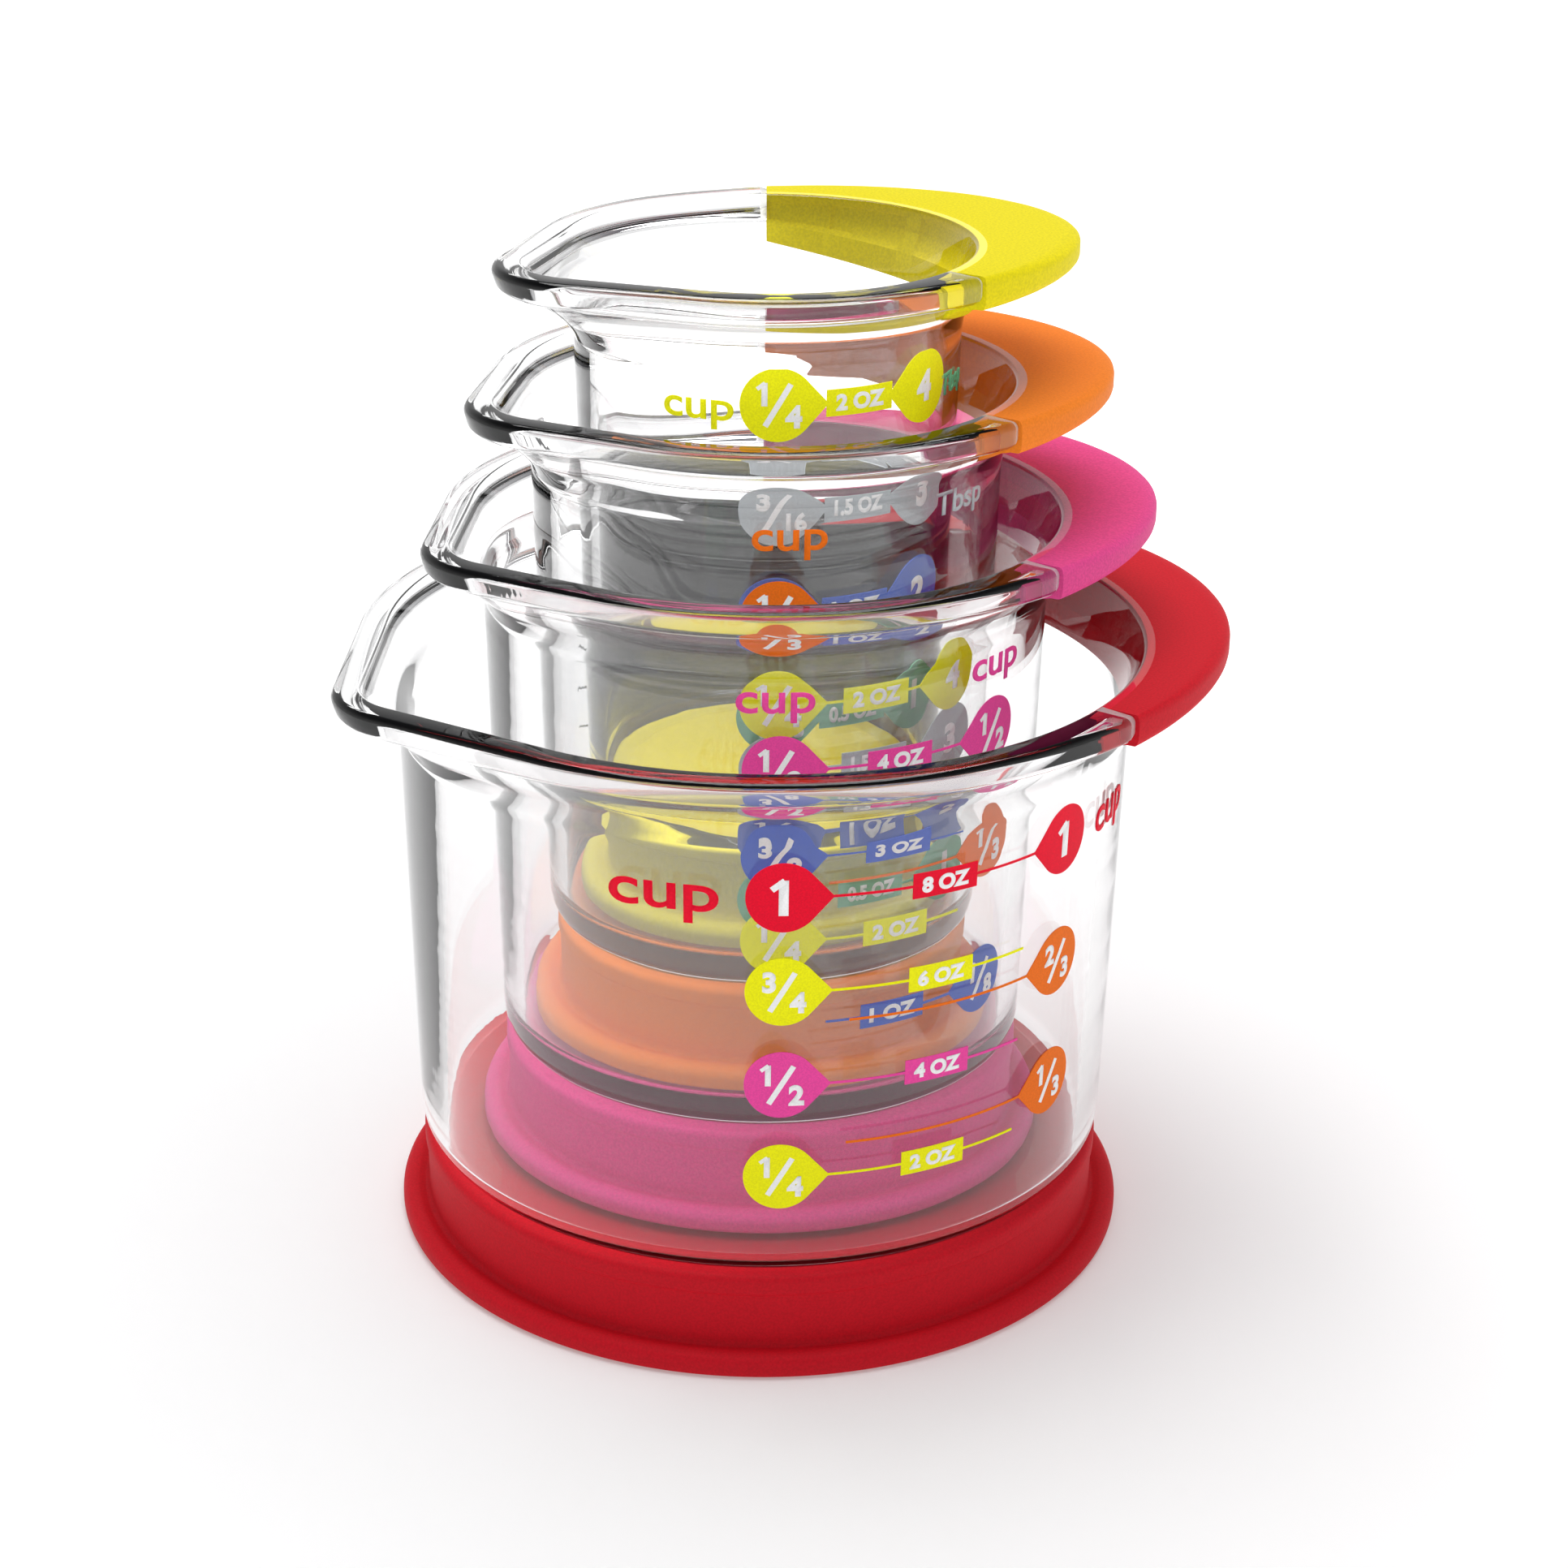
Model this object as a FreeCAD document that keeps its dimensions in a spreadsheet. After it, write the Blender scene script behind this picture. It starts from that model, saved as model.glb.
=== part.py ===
import FreeCAD, Part
import math
import os

import Sketcher

# A set of four nesting measuring cups: 1 cup, 1/2 cup, 1/3 cup and 1/4 cup. Each cup is a clear rigid
# beaker with a pouring spout on -X, a soft grip moulded over a stiff tab on +X, a soft foot under the
# base, and scales printed on the outside of the wall, one layer of ink for each colour.
# The cups stand inside each other on the Z axis, and z = 0 is the underside of the largest foot.

VEC = FreeCAD.Vector
os.makedirs("parts", exist_ok=True)
doc = FreeCAD.newDocument("MeasuringCupSet")

# ---------------------------------------------------------------- driving dimensions, in millimetres
CUPS = ("one", "half", "third", "quarter")
LABELS = {"one": "one_cup", "half": "half_cup", "third": "third_cup", "quarter": "quarter_cup"}

COMMON = {
    "foot_tall": 11.6,          # underside of the foot to the underside of the beaker
    "foot_flange_tall": 2.6,    # thickness of the flange that stands on the table
    "foot_waist_set": 3.3,      # how far the waist is inside the flange
    "foot_lip_set": 3.0,        # how far the top lip is inside the flange
    "foot_lip_tall": 2.4,
    "foot_seat_set": 6.0,       # how far the flat seat's edge is inside the flange
    "foot_lip_rise": 0.7,       # the lip's height above the seat
    "foot_round": 1.0,          # rounding of the flange's edge
    "foot_slope_out": 1.0,      # the flange's sloped top ends this far outside the waist
    "foot_slope_rise": 0.3,
    "foot_cove_rise": 0.9,      # the waist starts this far above the flange
    "foot_lean": 0.1,           # the waist widens this much on its way up
    "foot_lip_step": 0.2,
    "base_round": 3.2,          # outer corner of the beaker's base
    "floor_round": 1.4,         # inner corner of the beaker's floor
    "neck_tall": 8.6,           # from the rim's top down to where the wall starts to spread
    "flare_tall": 8.0,          # depth of the inner flare
    "flare_out": 1.3,           # inner edge of the rim, outside the wall's outer face
    "lip_out": 2.5,             # clear lip that shows in front of the grip
    "rim_out": 4.6,             # outer edge of the rim, outside the wall's outer face
    "rim_thick": 3.0,
    "rim_round": 0.9,
    "wall_draft": 1.3,          # the wall's radius grows this much from base to neck
    "neck_low_drop": 3.4,       # the neck's first corner, below the rim's underside, and its reach
    "neck_low_out": 0.5,
    "neck_high_drop": 1.6,      # the neck's second corner
    "neck_high_out": 1.25,
    "spout_tall": 12.0,         # depth of the spout below the rim's top, outside and inside
    "channel_tall": 9.5,
    "spout_round": 11.0,        # plan radius of the spout's tip
    "spout_under": 1.8,         # set-back of the spout's underside inside the rim
    "spout_band": 3.3,          # width of the rim's top round the spout
    "wall_embed": 1.0,          # how far the spout's loft starts inside the wall
    "oval_end": 1.1,            # end radius of the grip's oval, over the end radius of an ellipse
    "grip_thick": 3.7,
    "grip_round": 1.5,
    "grip_half_angle": 62.0,    # the grip spans this much each side of +X
    "apron_out": 4.2,           # reach of the thick part of the grip beside the wall
    "apron_low_out": 0.8,       # thickness of the apron's lower edge
    "apron_mid_out": 2.4,       # where the apron turns outwards
    "apron_mid_drop": 1.4,
    "apron_lift": 1.1,          # the apron ends this far above the bottom of the neck
    "apron_inside": 0.5,        # it starts inside the wall and is cut back by the beaker
    "tab_half_angle": 34.0,
    "tab_share": 0.35,          # how far out the stiff tab reaches, as a share of the grip's overhang
    "tab_thick": 1.3,
    "tab_top": 1.2,             # grip material over the tab
    "ink_gap": 0.01,
    "ink_thick": 0.1,
    "drop_round": 4.1,          # radius of a printed drop
    "drop_tail": 5.5,           # centre of a drop to the point of its tail
    "box_wide": 8.0,
    "box_tall": 3.0,
    "line_tall": 0.28,
}

# foot: radius of the flange; base: underside of the foot; floor: top of the beaker's floor; rim: top of
# the rim; top: outer radius of the wall under the neck; wall: its thickness; grip: reach of the grip on +X;
# spout: reach of the spout on -X. A nested cup stands on the floor of the cup round it.
EACH = {
    "one": {"foot": 44.5, "base": 0.0, "floor": 13.2, "rim": 74.6, "top": 43.0, "wall": 2.0,
            "grip": 57.3, "spout": 53.3},
    "half": {"foot": 34.2, "base": 13.2, "floor": 28.5, "rim": 89.6, "top": 32.7, "wall": 1.8,
             "grip": 48.1, "spout": 42.1},
    "third": {"foot": 27.7, "base": 28.5, "floor": 43.9, "rim": 105.2, "top": 26.9, "wall": 1.6,
              "grip": 42.3, "spout": 36.4},
    "quarter": {"foot": 21.9, "base": 43.9, "floor": 59.2, "rim": 120.3, "top": 21.85, "wall": 1.5,
                "grip": 37.8, "spout": 32.7},
}

PAST = 3.0                      # a cutting tool runs this far past what it cuts

sheet = doc.addObject("Spreadsheet::Sheet", "Sheet")
VALUES = dict(COMMON)
for cup in CUPS:
    for key, number in EACH[cup].items():
        VALUES[cup + "_" + key] = number
for row, (alias, number) in enumerate(VALUES.items(), start=1):
    sheet.set("A%d" % row, alias)
    sheet.set("B%d" % row, str(number))
    sheet.setAlias("B%d" % row, alias)
doc.recompute()


class Size:
    """A length worked out from the sheet: its number, and the expression that binds it."""

    def __init__(self, text, number):
        self.text = text
        self.number = number

    def join(self, sign, other):
        other = as_size(other)
        numbers = {"+": self.number + other.number, "-": self.number - other.number,
                   "*": self.number * other.number, "/": self.number / (other.number or 1.0)}
        return Size("(%s %s %s)" % (self.text, sign, other.text), numbers[sign])

    def __add__(self, other):
        return self.join("+", other)

    def __sub__(self, other):
        return self.join("-", other)

    def __mul__(self, other):
        return self.join("*", other)

    def __truediv__(self, other):
        return self.join("/", other)


def as_size(value):
    return value if isinstance(value, Size) else Size("%g" % value, float(value))


def dim(alias):
    return Size("Sheet." + alias, getattr(sheet, alias))


def bind(thing, name, value):
    value = as_size(value)
    thing.setExpression(name, value.text)


def new_body(name):
    return doc.addObject("PartDesign::Body", name)


def origin_plane(body, role):
    return [feature for feature in body.Origin.OriginFeatures if feature.Role == role][0]


def new_sketch(body, name, role, height=None):
    sketch = body.newObject("Sketcher::SketchObject", name)
    sketch.AttachmentSupport = [(origin_plane(body, role), "")]
    sketch.MapMode = "FlatFace"
    if height is not None:
        bind(sketch, "AttachmentOffset.Base.z", height)
    return sketch


def constrain(sketch, name, kind, *where):
    """Add a constraint whose last entry is a Size, and bind it to the sheet."""
    value = as_size(where[-1])
    number = sketch.addConstraint(Sketcher.Constraint(kind, *where[:-1], value.number))
    sketch.renameConstraint(number, name)
    sketch.setExpression("Constraints." + name, value.text)


def profile(body, name, points):
    """A closed outline in the XZ plane: (radius, height) pairs, each a Size or 0."""
    sketch = new_sketch(body, name, "XZ_Plane")
    points = [(as_size(x), as_size(z)) for x, z in points]
    count = len(points)
    for i in range(count):
        a, b = points[i], points[(i + 1) % count]
        sketch.addGeometry(Part.LineSegment(VEC(a[0].number, a[1].number, 0),
                                            VEC(b[0].number, b[1].number, 0)))
    for i in range(count):
        sketch.addConstraint(Sketcher.Constraint("Coincident", i, 2, (i + 1) % count, 1))
    for i, (x, z) in enumerate(points):
        if x.number == 0:
            sketch.addConstraint(Sketcher.Constraint("PointOnObject", i, 1, -2))
        else:
            constrain(sketch, "x%d" % i, "DistanceX", -1, 1, i, 1, x)
        if z.number == 0:
            sketch.addConstraint(Sketcher.Constraint("PointOnObject", i, 1, -1))
        else:
            constrain(sketch, "z%d" % i, "DistanceY", -1, 1, i, 1, z)
    return sketch


def revolve(body, name, points):
    sketch = profile(body, name + "Profile", points)
    feature = body.newObject("PartDesign::Revolution", name)
    feature.Profile = sketch
    feature.ReferenceAxis = (sketch, ["V_Axis"])
    feature.Angle = 360
    doc.recompute()
    return feature


def ring_edges(feature, rings):
    """Names of the circular edges of a turned feature at the given (radius, height) Sizes."""
    names = []
    for i, edge in enumerate(feature.Shape.Edges, start=1):
        curve = edge.Curve
        if not isinstance(curve, Part.Circle):
            continue
        for radius, height in rings:
            if abs(curve.Radius - radius.number) < 0.01 and abs(curve.Center.z - height.number) < 0.01:
                names.append("Edge%d" % i)
    return names


def round_edges(body, name, feature, edges, radius):
    fillet = body.newObject("PartDesign::Fillet", name)
    fillet.Base = (feature, edges)
    bind(fillet, "Radius", radius)
    doc.recompute()
    return fillet


def teardrop(body, name, height, radius, reach, tip):
    """A circle on the Z axis drawn out to a rounded beak on -X."""
    sketch = new_sketch(body, name, "XY_Plane", height)
    radius, reach, tip = as_size(radius), as_size(reach), as_size(tip)
    centre = reach - tip
    lean = math.acos((radius.number - tip.number) / centre.number)
    up, down = math.pi - lean, math.pi + lean
    nose_at = VEC(-centre.number, 0, 0)
    shapes = [
        Part.ArcOfCircle(Part.Circle(VEC(), VEC(0, 0, 1), radius.number), -up, up),
        Part.LineSegment(point_at(VEC(), radius.number, up), point_at(nose_at, tip.number, up)),
        Part.ArcOfCircle(Part.Circle(nose_at, VEC(0, 0, 1), tip.number), up, down),
        Part.LineSegment(point_at(nose_at, tip.number, down), point_at(VEC(), radius.number, down))]
    for shape in shapes:
        sketch.addGeometry(shape)
    for i in range(4):
        sketch.addConstraint(Sketcher.Constraint("Tangent", i, 2, (i + 1) % 4, 1))
    sketch.addConstraint(Sketcher.Constraint("Coincident", 0, 3, -1, 1))
    sketch.addConstraint(Sketcher.Constraint("PointOnObject", 2, 3, -1))
    constrain(sketch, "body", "Radius", 0, radius)
    constrain(sketch, "nose", "Radius", 2, tip)
    constrain(sketch, "reach", "DistanceX", 2, 3, -1, 1, centre)
    return sketch


def point_at(centre, size, angle):
    return centre + VEC(math.cos(angle), math.sin(angle), 0) * size


def rim_outline(body, name, height, cup):
    """The rim seen from above: round at the sides, a rounded beak on -X and an oval reach on +X."""
    sketch = new_sketch(body, name, "XY_Plane", height)
    side = dim(cup + "_top") + dim("rim_out")
    tip = dim("spout_round")
    beak = dim(cup + "_spout") - tip
    reach = dim(cup + "_grip")
    end = side * side / reach * dim("oval_end")
    middle = reach - end
    lean = math.acos((side.number - tip.number) / beak.number)
    # the long side arc is tangent to the round side at the YZ plane and to the end arc
    long_size = (middle.number ** 2 + side.number ** 2 - end.number ** 2) / (2 * (side.number - end.number))
    drop = long_size - side.number
    join = math.atan2(drop, middle.number)
    up, down = math.pi - lean, math.pi + lean
    nose_at, end_at = VEC(-beak.number, 0, 0), VEC(middle.number, 0, 0)
    round_side = Part.Circle(VEC(), VEC(0, 0, 1), side.number)
    upper_long = Part.Circle(VEC(0, -drop, 0), VEC(0, 0, 1), long_size)
    lower_long = Part.Circle(VEC(0, drop, 0), VEC(0, 0, 1), long_size)
    shapes = [
        Part.ArcOfCircle(Part.Circle(end_at, VEC(0, 0, 1), end.number), -join, join),
        Part.ArcOfCircle(upper_long, join, math.pi / 2),
        Part.ArcOfCircle(round_side, math.pi / 2, up),
        Part.LineSegment(point_at(VEC(), side.number, up), point_at(nose_at, tip.number, up)),
        Part.ArcOfCircle(Part.Circle(nose_at, VEC(0, 0, 1), tip.number), up, down),
        Part.LineSegment(point_at(nose_at, tip.number, down), point_at(VEC(), side.number, down)),
        Part.ArcOfCircle(round_side, down, 1.5 * math.pi),
        Part.ArcOfCircle(lower_long, 1.5 * math.pi, 2 * math.pi - join)]
    for shape in shapes:
        sketch.addGeometry(shape)
    count = len(shapes)
    for i in range(count):
        sketch.addConstraint(Sketcher.Constraint("Tangent", i, 2, (i + 1) % count, 1))
    for i in (2, 6):
        sketch.addConstraint(Sketcher.Constraint("Coincident", i, 3, -1, 1))
    sketch.addConstraint(Sketcher.Constraint("PointOnObject", 1, 2, -2))
    sketch.addConstraint(Sketcher.Constraint("PointOnObject", 7, 1, -2))
    for i in (0, 4):
        sketch.addConstraint(Sketcher.Constraint("PointOnObject", i, 3, -1))
    constrain(sketch, "side", "Radius", 2, side)
    constrain(sketch, "nose", "Radius", 4, tip)
    constrain(sketch, "end", "Radius", 0, end)
    constrain(sketch, "beak", "DistanceX", 4, 3, -1, 1, beak)
    constrain(sketch, "middle", "DistanceX", -1, 1, 0, 3, middle)
    doc.recompute()
    return sketch


def rounded_plate(body, name, outline, thick, rounding):
    pad = body.newObject("PartDesign::Pad", name)
    pad.Profile = outline
    bind(pad, "Length", thick)
    doc.recompute()
    level_edges = ["Edge%d" % i for i, edge in enumerate(pad.Shape.Edges, start=1)
                   if edge.BoundBox.ZLength < 0.01]
    return round_edges(body, name + "Round", pad, level_edges, rounding)


def loft(body, name, sections):
    feature = body.newObject("PartDesign::AdditiveLoft", name)
    feature.Profile = sections[0]
    feature.Sections = sections[1:]
    feature.Ruled = True
    doc.recompute()
    return feature


def part_object(kind, name, **sizes):
    thing = doc.addObject(kind, name)
    for key, value in sizes.items():
        bind(thing, key, value)
    return thing


def boolean(kind, name, base, tool):
    thing = doc.addObject("Part::" + kind, name)
    thing.Base = base
    thing.Tool = tool
    doc.recompute()
    return thing


def fuse(name, *pieces):
    thing = doc.addObject("Part::MultiFuse", name)
    thing.Shapes = list(pieces)
    thing.Refine = True
    doc.recompute()
    return thing


def sector(name, reach, z_low, tall, half_angle):
    """A wedge of a cylinder, half_angle each side of +X."""
    wedge = part_object("Part::Cylinder", name, Radius=reach, Height=tall, Angle=half_angle * 2)
    bind(wedge, "Placement.Base.z", z_low)
    wedge.Placement.Rotation = FreeCAD.Rotation(VEC(0, 0, 1), -half_angle.number)
    return wedge


# ---------------------------------------------------------------- soft foot
def make_foot(cup, outside):
    """A disc with a rounded flange on the table, a cove, a waist, and a lip round the beaker's base."""
    flange = dim(cup + "_foot")
    base = dim(cup + "_base")
    waist = flange - dim("foot_waist_set")
    lip = flange - dim("foot_lip_set")
    seat = flange - dim("foot_seat_set")
    top = base + dim("foot_tall")
    edge = base + dim("foot_flange_tall")
    lip_low, lip_top = top - dim("foot_lip_tall"), top + dim("foot_lip_rise")
    blank = new_body(LABELS[cup] + "_foot_blank")
    turned = revolve(blank, cup + "FootTurned", [
        (0, base), (flange, base), (flange, edge),
        (waist + dim("foot_slope_out"), edge + dim("foot_slope_rise")),
        (waist, edge + dim("foot_cove_rise")), (waist + dim("foot_lean"), lip_low),
        (lip, lip_low + dim("foot_lip_step")), (lip, lip_top), (seat, lip_top), (seat, top), (0, top)])
    round_edges(blank, cup + "FootRound", turned, ring_edges(turned, [(flange, base), (flange, edge)]),
                dim("foot_round"))
    return boolean("Cut", LABELS[cup] + "_foot", blank, outside)


# ---------------------------------------------------------------- clear beaker
def make_outside(cup):
    """The beaker without its hollow: base, wall, neck, rim with its spout, and the stiff tab."""
    name = LABELS[cup]
    top = dim(cup + "_top")
    low = top - dim("wall_draft")
    base = dim(cup + "_base") + dim("foot_tall")
    rim = dim(cup + "_rim")
    rim_edge = top + dim("rim_out")
    under = rim - dim("rim_thick")

    plug = new_body(name + "_plug")
    turned = revolve(plug, cup + "PlugTurned", [
        (0, base), (low, base), (top, rim - dim("neck_tall")),
        (top + dim("neck_low_out"), under - dim("neck_low_drop")),
        (top + dim("neck_high_out"), under - dim("neck_high_drop")),
        (top + dim("lip_out"), under), (top + dim("lip_out"), rim), (0, rim)])
    round_edges(plug, cup + "BaseRound", turned, ring_edges(turned, [(low, base)]), dim("base_round"))

    plate = new_body(name + "_rim_plate")
    outline = rim_outline(plate, cup + "RimOutline", under, cup)
    rounded_plate(plate, cup + "RimPad", outline, dim("rim_thick"), dim("rim_round"))
    gap = sector(name + "_grip_gap", dim(cup + "_grip") + PAST, under - PAST, dim("rim_thick") + PAST * 2,
                 dim("grip_half_angle"))
    core = part_object("Part::Cylinder", name + "_rim_core", Radius=top + dim("wall_embed"),
                       Height=dim("rim_thick") + PAST * 2)
    bind(core, "Placement.Base.z", under - PAST)
    ring = boolean("Cut", name + "_rim_ring", plate, core)
    flange = boolean("Cut", name + "_rim_flange", ring, gap)

    beak = new_body(name + "_spout_outside")
    tall = dim("spout_tall")
    small = teardrop(beak, cup + "SpoutFoot", rim - tall, top - dim("wall_embed") * 2,
                     top - dim("wall_embed") / 2, dim("spout_round"))
    large = teardrop(beak, cup + "SpoutHead", rim - dim("rim_thick") / 2, top - dim("wall_embed"),
                     dim(cup + "_spout") - dim("spout_under"), dim("spout_round") - dim("spout_under"))
    loft(beak, cup + "SpoutLoft", [small, large])

    tab_reach = rim_edge + (dim(cup + "_grip") - rim_edge) * dim("tab_share")
    tab_side = sector(name + "_tab_side", tab_reach, rim - dim("tab_top") - dim("tab_thick"),
                      dim("tab_thick"), dim("tab_half_angle"))
    tab = boolean("Cut", name + "_tab", tab_side, core)
    return fuse(name + "_outside", plug, flange, beak, tab)


def make_hollow(cup):
    """The space inside the beaker: the cup, the flare under the rim and the spout's channel."""
    name = LABELS[cup]
    wall = dim(cup + "_wall")
    top = dim(cup + "_top") - wall
    low = top - dim("wall_draft")
    floor, rim = dim(cup + "_floor"), dim(cup + "_rim")
    edge = dim(cup + "_top") + dim("flare_out")
    slope = (edge - top) / dim("flare_tall")
    body = new_body(name + "_hollow")
    turned = revolve(body, cup + "HollowTurned", [
        (0, floor), (low, floor), (top, rim - dim("flare_tall")), (edge + slope * PAST, rim + PAST),
        (0, rim + PAST)])
    round_edges(body, cup + "FloorRound", turned, ring_edges(turned, [(low, floor)]), dim("floor_round"))
    channel = new_body(name + "_spout_channel")
    band = dim("spout_band")
    small = teardrop(channel, cup + "ChannelFoot", rim - dim("channel_tall"),
                     top - dim("wall_embed") * 2, top - dim("wall_embed") / 2,
                     dim("spout_round") - band)
    large = teardrop(channel, cup + "ChannelHead", rim + dim("ink_gap"), top - dim("wall_embed"),
                     dim(cup + "_spout") - band, dim("spout_round") - band)
    loft(channel, cup + "ChannelLoft", [small, large])
    return fuse(name + "_inside", body, channel)


def make_grip(cup, outside):
    """The soft grip: an oval plate round the tab, thicker where it runs down to the wall as an apron."""
    name = LABELS[cup]
    rim, top = dim(cup + "_rim"), dim(cup + "_top")
    thick = dim("grip_thick")
    slab = new_body(name + "_grip_slab")
    outline = rim_outline(slab, cup + "GripOutline", rim - thick, cup)
    rounded_plate(slab, cup + "GripPad", outline, thick, dim("grip_round"))
    apron = new_body(name + "_grip_apron")
    low = rim - dim("neck_tall") + dim("apron_lift")
    inside, middle = top - dim("apron_inside"), rim - thick / 2
    revolve(apron, cup + "ApronTurned", [
        (inside, low), (top + dim("apron_low_out"), low),
        (top + dim("apron_mid_out"), rim - thick - dim("apron_mid_drop")),
        (top + dim("apron_out"), rim - thick), (top + dim("apron_out"), middle), (inside, middle)])
    blank = fuse(name + "_grip_blank", slab, apron)
    side = sector(name + "_grip_side", dim(cup + "_grip") + PAST, low - PAST, dim("neck_tall") + PAST,
                  dim("grip_half_angle"))
    core = part_object("Part::Cylinder", name + "_grip_core", Radius=top - dim("apron_inside") / 2,
                       Height=dim("neck_tall") + PAST * 2)
    bind(core, "Placement.Base.z", low - PAST)
    shell = boolean("Cut", name + "_grip_shell", blank, core)
    wedge = boolean("Common", name + "_grip_wedge", shell, side)
    return boolean("Cut", name + "_grip", wedge, outside)


# ---------------------------------------------------------------- printed scales
# Each mark is its kind, the measure in US cups, and its ink. Its height is that of the liquid's surface.
# A row is a drop at FRONT, a box at BOXES and the leader line through it; the others are drops at RIGHT.
FRONT, BOXES, RIGHT = -115.5, -91.0, -67.0     # azimuths from +X, in degrees
LINE_START, LINE_END = -105.5, -75.5
US_CUP = 236588.0                              # cubic millimetres
STAMP_DEEP = 6.0                               # a stamp is pushed this far through the wall's surface
DROP_OVERLAP = 1.0                             # degrees that a leader line starts inside a drop's tail
SCALES = {
    "one": [
        ("row", 1.0, "red"), ("row", 3 / 4, "yellow"), ("row", 1 / 2, "pink"), ("row", 1 / 4, "yellow"),
        ("right", 1.0, "red"), ("right", 2 / 3, "orange"), ("right", 1 / 3, "orange")],
    "half": [
        ("row", 1 / 2, "pink"), ("row", 3 / 8, "blue"), ("row", 1 / 4, "yellow"),
        ("right", 1 / 2, "pink"), ("right", 1 / 3, "orange"), ("right_box", 1 / 8, "blue")],
    "third": [
        ("drop", 1 / 3, "orange"), ("row", 1 / 4, "yellow"), ("spoons", 1 / 4, "yellow"),
        ("row", 3 / 16, "grey"), ("spoons", 3 / 16, "grey"), ("row", 1 / 8, "blue"),
        ("spoons", 1 / 8, "blue"), ("row", 1 / 16, "green"), ("spoons", 1 / 16, "green")],
    "quarter": [
        ("row", 1 / 4, "yellow"), ("spoons", 1 / 4, "yellow"), ("row", 3 / 16, "grey"),
        ("spoons", 3 / 16, "grey"), ("row", 1 / 8, "blue"), ("spoons", 1 / 8, "blue"),
        ("row", 1 / 16, "green"), ("spoons", 1 / 16, "green")],
}


def level(cup, measure):
    """Height of the liquid's surface when the cup holds this much, in millimetres."""
    size = EACH[cup]
    slope = COMMON["wall_draft"] / (size["rim"] - COMMON["neck_tall"] - size["base"] - COMMON["foot_tall"])
    r = wall_radius(cup, size["floor"]) - size["wall"]
    low, high = 0.0, size["rim"] - size["floor"]
    for _ in range(40):
        mid = (low + high) / 2
        volume = math.pi * (r * r * mid + r * slope * mid ** 2 + slope ** 2 * mid ** 3 / 3)
        low, high = (mid, high) if volume < measure * US_CUP else (low, mid)
    return size["floor"] + low


def wall_radius(cup, z):
    """Outer radius of the wall at this height."""
    size = EACH[cup]
    z0 = size["base"] + COMMON["foot_tall"]
    z1 = size["rim"] - COMMON["neck_tall"]
    return size["top"] - COMMON["wall_draft"] * (z1 - z) / (z1 - z0)


def ink_film(cup):
    """A thin cone that follows the outside of the wall."""
    z0 = EACH[cup]["base"] + COMMON["foot_tall"] + COMMON["base_round"]
    z1 = EACH[cup]["rim"] - COMMON["neck_tall"]
    inner, outer = COMMON["ink_gap"], COMMON["ink_gap"] + COMMON["ink_thick"]
    big = Part.makeCone(wall_radius(cup, z0) + outer, wall_radius(cup, z1) + outer, z1 - z0, VEC(0, 0, z0))
    small = Part.makeCone(wall_radius(cup, z0) + inner, wall_radius(cup, z1) + inner, z1 - z0, VEC(0, 0, z0))
    return big.cut(small)


def stamp(cup, z, azimuth, face):
    """A face drawn round the YZ origin, pushed radially through the wall at this height and azimuth."""
    solid = face.extrude(VEC(STAMP_DEEP, 0, 0))
    solid.translate(VEC(wall_radius(cup, z) - STAMP_DEEP / 2, 0, z))
    solid.rotate(VEC(), VEC(0, 0, 1), azimuth)
    return solid


def drop_face(side):
    """A round with a pointed tail towards +Y (side 1) or -Y (side -1)."""
    r, tail = COMMON["drop_round"], COMMON["drop_tail"]
    lean = math.acos(r / tail)
    tip = VEC(0, side * tail, 0)
    up = VEC(0, side * r * math.cos(lean), r * math.sin(lean))
    down = VEC(0, side * r * math.cos(lean), -r * math.sin(lean))
    back = VEC(0, -side * r, 0)
    edges = [Part.Arc(up, back, down).toShape(), Part.LineSegment(down, tip).toShape(),
             Part.LineSegment(tip, up).toShape()]
    return Part.Face(Part.Wire(edges))


def box_face():
    w, t = COMMON["box_wide"] / 2, COMMON["box_tall"] / 2
    corners = [VEC(0, -w, -t), VEC(0, w, -t), VEC(0, w, t), VEC(0, -w, t), VEC(0, -w, -t)]
    return Part.Face(Part.makePolygon(corners))


def leader(cup, z, start, end):
    """A thin level line round the wall from one azimuth to another."""
    r, t = wall_radius(cup, z), COMMON["line_tall"]
    low = VEC(0, 0, z - t / 2)
    ring = Part.makeCylinder(r + STAMP_DEEP / 2, t, low, VEC(0, 0, 1), end - start)
    core = Part.makeCylinder(r - STAMP_DEEP / 2, t, low, VEC(0, 0, 1), end - start)
    ring = ring.cut(core)
    ring.rotate(VEC(), VEC(0, 0, 1), start)
    return ring


def marks_of(cup, kind, measure):
    """The stamps that one entry of a scale needs."""
    z = level(cup, measure)
    turn = math.degrees(COMMON["drop_tail"] / wall_radius(cup, z)) - DROP_OVERLAP
    pieces = []
    if kind in ("row", "drop"):
        pieces.append(stamp(cup, z, FRONT, drop_face(1)))
    if kind == "row":
        end = LINE_END if cup in ("one", "half") else RIGHT - turn
        pieces.append(leader(cup, z, FRONT + turn, end))
    if kind in ("row", "right_box"):
        pieces.append(stamp(cup, z, BOXES, box_face()))
    if kind in ("right", "right_box", "spoons"):
        pieces.append(stamp(cup, z, RIGHT, drop_face(-1)))
    if kind in ("right", "right_box"):
        pieces.append(leader(cup, z, LINE_START, RIGHT - turn))
    return pieces


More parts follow.
